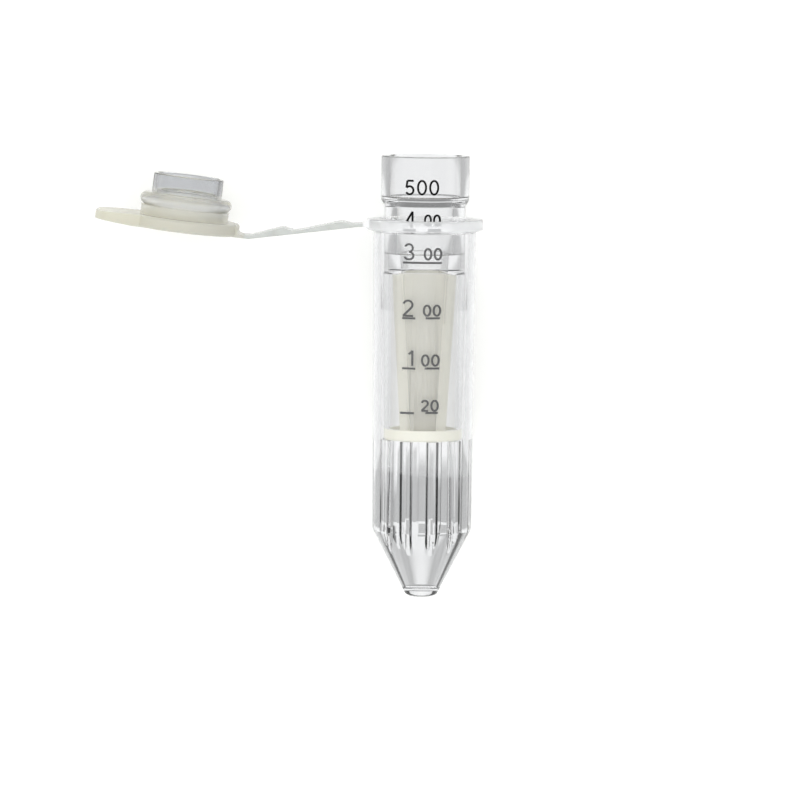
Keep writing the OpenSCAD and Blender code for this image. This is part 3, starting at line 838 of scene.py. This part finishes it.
capMiddle = Matrix.Translation((capReach, 0, 0))
capMesh, tabMesh = capBody(), liftTab()
capMesh.transform(capMiddle)
tabMesh.transform(capMiddle)
solidPart = combined(tabMesh, capFilm(), "UNION")
capMesh = smoothed(combined(capMesh, solidPart, "UNION"), 35)
piece("capBody", capMesh, capPlace, "cap", ["cap"], capPlastic)
print("stage: cap made", len(capMesh.polygons))


def seenThrough(tree):
    # 1 where clear plastic shows the studio, and 0 for the light that reaches a diffuse surface
    path = addNode(tree, "ShaderNodeLightPath").outputs
    return path, addNode(tree, "ShaderNodeMath", {
        0: path["Is Transmission Ray"], 1: path["Diffuse Depth"]}, operation="SUBTRACT", use_clamp=True).outputs[0]


def paleFloor():
    # the floor shows white, keeps the soft shadow, and lets clear plastic show the lit sheet below it
    material, tree = newMaterial("pale floor")
    path, through = seenThrough(tree)
    direct = addNode(tree, "ShaderNodeMath", {
        0: path["Is Camera Ray"], 1: path["Is Glossy Ray"]}, operation="MAXIMUM")
    base = addNode(tree, "ShaderNodeBsdfDiffuse", {"Color": toLinear("#D8D8D6")})
    glow = addNode(tree, "ShaderNodeEmission", {"Color": toLinear("#FEFEFC"), "Strength": 0.4})
    both = addNode(tree, "ShaderNodeAddShader", {0: base.outputs[0], 1: glow.outputs[0]})
    clear = addNode(tree, "ShaderNodeBsdfTransparent")
    mix = addNode(tree, "ShaderNodeMixShader", {0: direct.outputs[0], 1: base.outputs[0], 2: both.outputs[0]})
    mix = addNode(tree, "ShaderNodeMixShader", {0: through, 1: mix.outputs[0], 2: clear.outputs[0]})
    addNode(tree, "ShaderNodeOutputMaterial", {"Surface": mix.outputs[0]})
    return material


def makeFloor():
    size = 3.0  # metres, each way
    mesh = bpy.data.meshes.new("floor")
    mesh.from_pydata([(-size, -size, 0), (size, -size, 0), (size, size, 0), (-size, size, 0)], [], [(0, 1, 2, 3)])
    mesh.materials.append(paleFloor())
    floor = bpy.data.objects.new("floor", mesh)
    bpy.context.scene.collection.objects.link(floor)


studio = {
    "ambient": 0.9, "reflected": 0.5,  # on the pieces, and in what they mirror
    "lampSize": 1.0, "keyWatts": 2.0, "fillWatts": 1.0,
    "sheetPale": 1.0, "tubeShadowGrey": 0.58,  # the lit sheet behind the collar, and behind the tube, greyer there: a painted shadow of the tube
    "flank": 0.8, "seam": 0.1,  # its two sides, and a dark seam towards the tube's base
    "card": 0.3,  # a grey card past the sheet's far end
    "horizon": 0.35, "overhead": 0.02,  # the room round the sheet, and above
}
sheetPlaces = {  # where each starts and ends, as a ray's y, or its x for the flank and its z for the last two
    # the grey stretch is painted shadow: the tube's shade on the floor, for rays that look straight through the
    # tube
    "grey": (-0.066, -0.056), "flank": (0.15, 0.6), "seam": (-0.23, -0.30),
    "nearEnd": (-0.38, -0.48), "farEnd": (-0.02, 0.08), "card": (0.18, 0.23), "cardEnd": (0.29, 0.36),
    "horizon": (-0.3, 0.0), "overhead": (0.05, 0.35),
}


def litSheet(tree):
    # what clear plastic shows: a white sheet below, with a painted shadow that makes it greyer straight under the
    # tube, and a dark room above
    way = addNode(tree, "ShaderNodeTexCoord").outputs["Generated"]
    x, y, z = addNode(tree, "ShaderNodeSeparateXYZ", {0: way}).outputs
    aside = addNode(tree, "ShaderNodeMath", {0: x}, operation="ABSOLUTE").outputs[0]
    s = studio
    parts = {}
    for name, value, low, high in (
            # the grey ramp paints the tube's shadow into the sheet, for rays that look straight through the tube
            ("grey", y, s["tubeShadowGrey"], s["sheetPale"]), ("flank", aside, 1.0, s["flank"]),
            ("seam", y, 1.0, s["seam"]), ("nearEnd", y, 0.0, 1.0), ("farEnd", y, 0.0, 1.0),
            ("card", y, 1.0, s["card"]), ("cardEnd", y, 0.0, 1.0),
            ("horizon", z, 1.0, s["horizon"]), ("overhead", z, 0.0, s["horizon"] - s["overhead"])):
        start, end = sheetPlaces[name]
        parts[name] = addNode(tree, "ShaderNodeMapRange", {
            "Value": value, "From Min": start, "From Max": end, "To Min": low, "To Max": high}).outputs[0]
    for name, a, operation, b in (
            ("flanked", "grey", "MULTIPLY", "flank"),
            ("shade", "flanked", "MULTIPLY", "seam"),
            ("beyond", "nearEnd", "MAXIMUM", "farEnd"),
            ("cardShade", "card", "MAXIMUM", "cardEnd"),
            ("room", "horizon", "SUBTRACT", "overhead")):
        parts[name] = addNode(tree, "ShaderNodeMath", {0: parts[a], 1: parts[b]}, operation=operation).outputs[0]
    sheet = addNode(tree, "ShaderNodeMix", {
        0: parts["beyond"], 2: parts["shade"], 3: parts["cardShade"]}).outputs[0]
    return addNode(tree, "ShaderNodeMath", {0: sheet, 1: parts["room"]}, operation="MULTIPLY").outputs[0]


def makeWorld():
    # white to the camera, soft pale light on the object, and the lit sheet for what clear plastic shows
    world = bpy.data.worlds.new("studio")
    bpy.context.scene.world = world
    world.use_nodes = True
    tree = world.node_tree
    tree.nodes.clear()
    path, through = seenThrough(tree)
    ambient = addNode(tree, "ShaderNodeBackground", {"Color": toLinear("#F4F6F8"), "Strength": studio["ambient"]})
    reflected = addNode(tree, "ShaderNodeBackground", {
        "Color": toLinear("#F4F6F8"), "Strength": studio["reflected"]})
    sheet = addNode(tree, "ShaderNodeBackground", {"Color": toLinear("#FCFDFE"), "Strength": litSheet(tree)})
    backdrop = addNode(tree, "ShaderNodeBackground", {"Color": toLinear("#FEFEFC"), "Strength": 1.0})
    mirrored = addNode(tree, "ShaderNodeMath", {
        0: path["Is Glossy Ray"], 1: path["Diffuse Depth"]}, operation="SUBTRACT", use_clamp=True)
    mix = addNode(tree, "ShaderNodeMixShader", {
        0: mirrored.outputs[0], 1: ambient.outputs[0], 2: reflected.outputs[0]})
    mix = addNode(tree, "ShaderNodeMixShader", {0: through, 1: mix.outputs[0], 2: sheet.outputs[0]})
    mix = addNode(tree, "ShaderNodeMixShader", {
        0: path["Is Camera Ray"], 1: mix.outputs[0], 2: backdrop.outputs[0]})
    addNode(tree, "ShaderNodeOutputWorld", {"Surface": mix.outputs[0]})


def areaLight(name, place, watts):
    # a square lamp that faces the object, and that clear plastic doesn't show
    data = bpy.data.lights.new(name, "AREA")
    data.shape = "SQUARE"
    data.size = studio["lampSize"]
    data.energy = watts
    lamp = bpy.data.objects.new(name, data)
    lamp.location = place
    lamp.rotation_euler = (-Vector(place)).to_track_quat("-Z", "Y").to_euler()
    lamp.visible_transmission = False
    bpy.context.scene.collection.objects.link(lamp)


view = {
    "distance": 400.0, "height": 63.4, "rollDegrees": 0.59, "lens": 168.9, "sensor": 36.0,
    "aimHeight": 27.0, "imageX": 423.15, "imageY": 345.3,  # a point of the axis, and where it lies in the picture
    "imageSize": 800,
}


def makeCamera():
    # the upright view of the tube, laid down with it: level with the axis, a little above its mouth
    data = bpy.data.cameras.new("camera")
    data.lens = view["lens"]
    data.sensor_width = view["sensor"]
    data.clip_start = 0.01
    camera = bpy.data.objects.new("camera", data)
    bpy.context.scene.collection.objects.link(camera)
    focal = view["lens"] / view["sensor"] * view["imageSize"]
    middle = view["imageSize"] / 2
    pitch = math.atan2(view["height"] - view["aimHeight"], view["distance"])
    yaw = math.atan2(view["imageX"] - middle, focal)
    tilt = math.atan2(view["imageY"] - middle, focal)
    turn = (Matrix.Rotation(yaw, 4, "Z") @ Matrix.Rotation(math.pi / 2 - pitch + tilt, 4, "X")
            @ Matrix.Rotation(math.radians(view["rollDegrees"]), 4, "Z"))
    place = Vector((0, -view["distance"], view["height"])) * mm
    camera.matrix_world = standing @ Matrix.Translation(place) @ turn
    bpy.context.scene.camera = camera


makeFloor()
makeWorld()
areaLight("soft box", (-0.25, 0.1, 0.6), studio["keyWatts"])
areaLight("fill", (0.45, -0.2, 0.5), studio["fillWatts"])
makeCamera()
print("stage: studio made")

scene = bpy.context.scene
scene.view_settings.view_transform = "Standard"
bounces = 32  # a look through the tube crosses many clear walls
scene.cycles.max_bounces = bounces
scene.cycles.transmission_bounces = bounces
scene.cycles.transparent_max_bounces = bounces
scene.cycles.use_denoising = True
